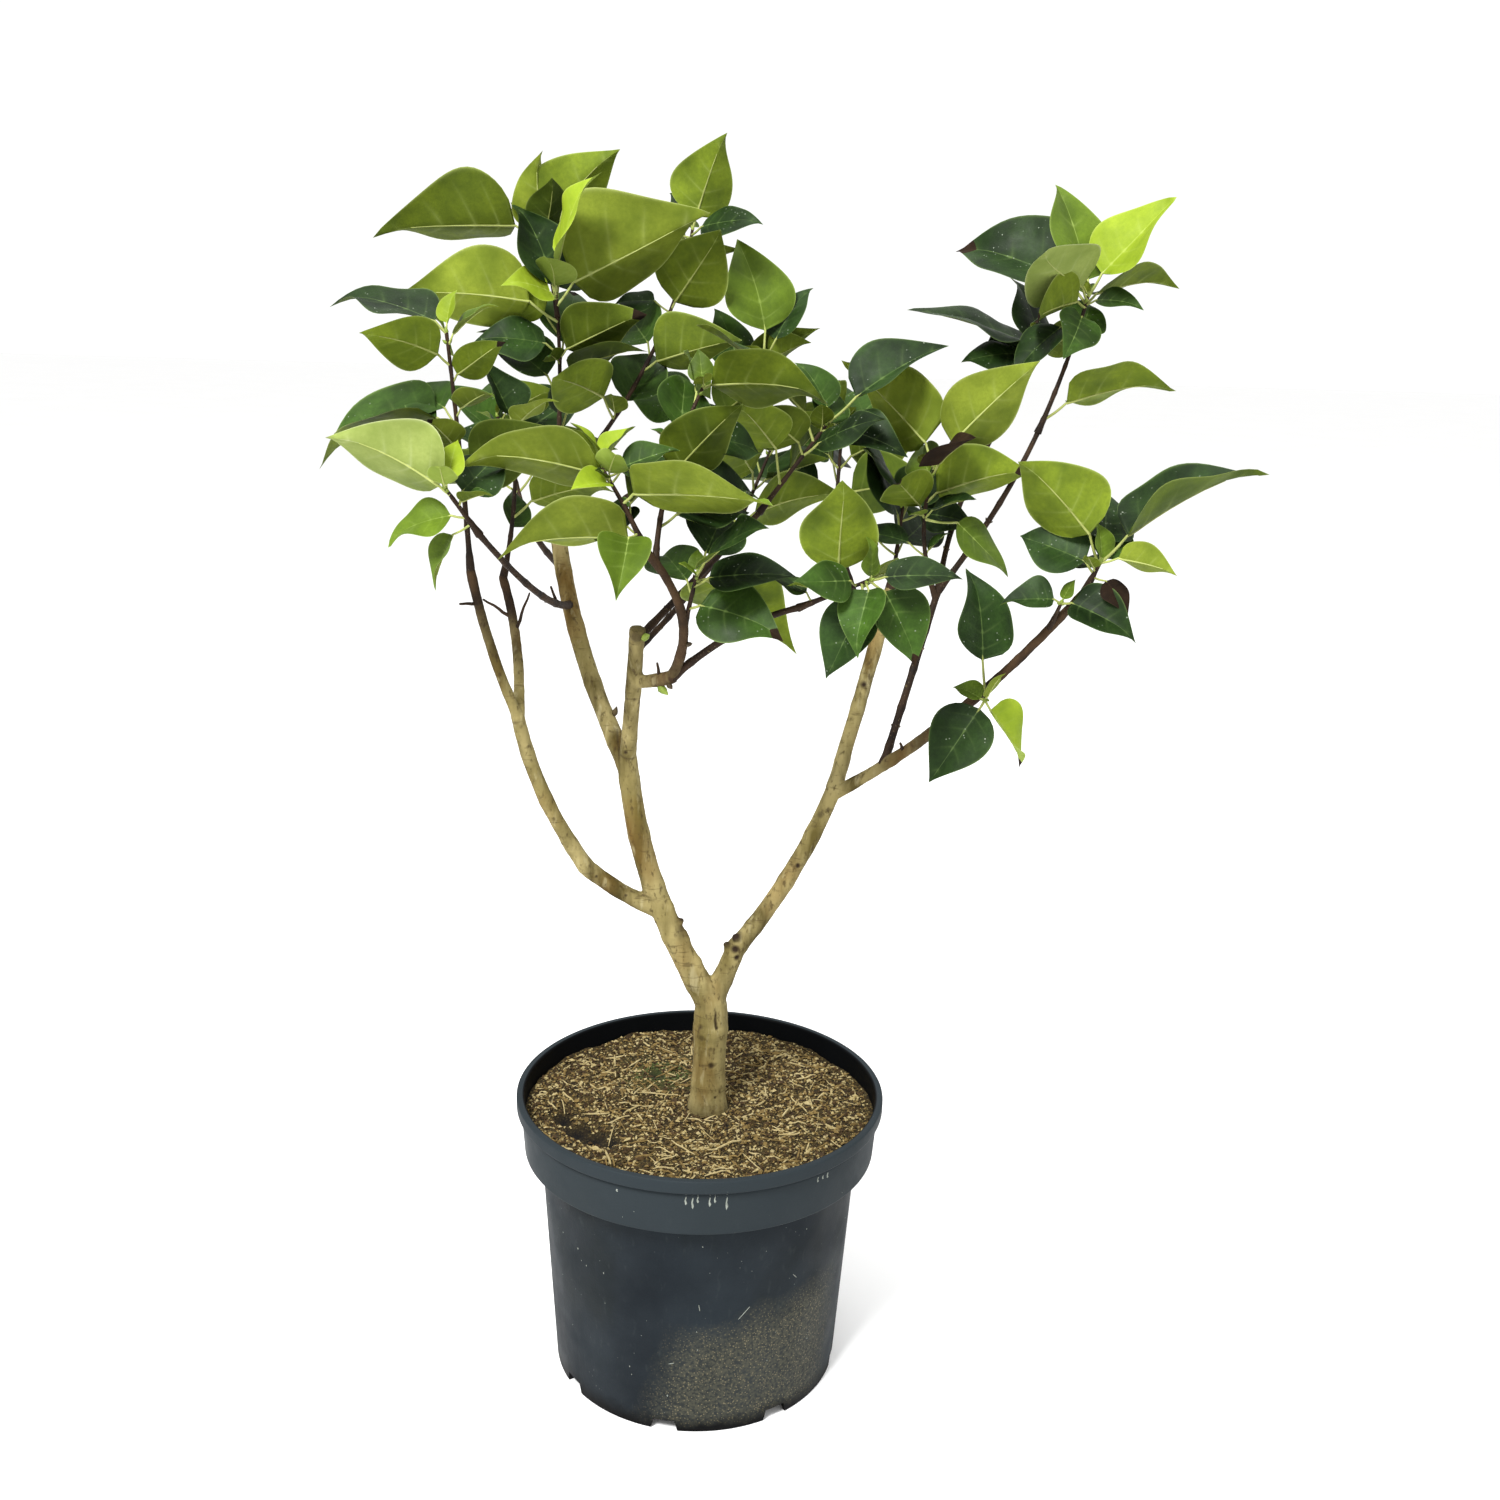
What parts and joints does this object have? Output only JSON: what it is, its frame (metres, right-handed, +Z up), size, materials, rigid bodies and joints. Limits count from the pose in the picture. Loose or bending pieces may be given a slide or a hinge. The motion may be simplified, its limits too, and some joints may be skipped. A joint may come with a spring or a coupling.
{
  "type": "potted lilac",
  "caption": "Young leafy lilac shrub with a forked trunk, slender arching boughs and open sprays of heart-shaped leaves, in a round nursery pot.",
  "frame": {"origin": "centre of the pot's flat underside", "axes": "+Z up along the pot's axis, +X to the right and +Y away from the viewer in the picture"},
  "size_m": [0.6018, 0.4073, 0.9247],
  "materials": {
    "pot": "matte, blue-grey, a little dusty",
    "compost": "rough, fibrous",
    "bark": "matte, finely furrowed",
    "young_bark": "satin, dark brown",
    "leaf": "satin, leafy green"
  },
  "bodies": {
    "root": {"pot": "pot", "compost": "compost", "trunk": "bark", "left_limb": "bark", "right_limb_foot": "bark", "right_limb": "bark", "left_bough_foot": "bark", "left_bough": "bark", "left_outer_stem": "bark", "left_inner_stem": "bark", "centre_left_stem": "bark", "centre_right_stem": "bark", "crossing_branch": "young_bark", "knuckle_branch": "bark", "arched_front_branch": "bark", "low_slender_branch": "young_bark", "middle_slender_branch": "young_bark", "right_stem": "bark", "right_outer_bough": "bark", "right_inner_branch": "young_bark", "right_back_branch": "young_bark", "upper_right_branch": "young_bark", "back_left_branch": "young_bark", "back_centre_branch": "young_bark", "back_middle_branch": "young_bark", "back_right_branch": "young_bark", "leaves_upper_left": "leaf", "leaves_top": "leaf", "leaves_far_left": "leaf", "leaves_left_inner": "leaf", "leaves_left_front": "leaf", "leaves_centre_front": "leaf", "leaves_centre_upright": "leaf", "leaves_middle": "leaf", "leaves_centre_low": "leaf", "leaves_low_middle": "leaf", "leaves_right_stem": "leaf", "leaves_right_inner": "leaf", "leaves_right_back": "leaf", "leaves_upper_right": "leaf", "leaves_far_right": "leaf", "leaves_right_low": "leaf", "leaves_lower_right": "leaf", "leaves_back_left": "leaf", "leaves_back_centre": "leaf", "leaves_back_middle": "leaf", "leaves_back_right": "leaf"}
  },
  "joints": []
}
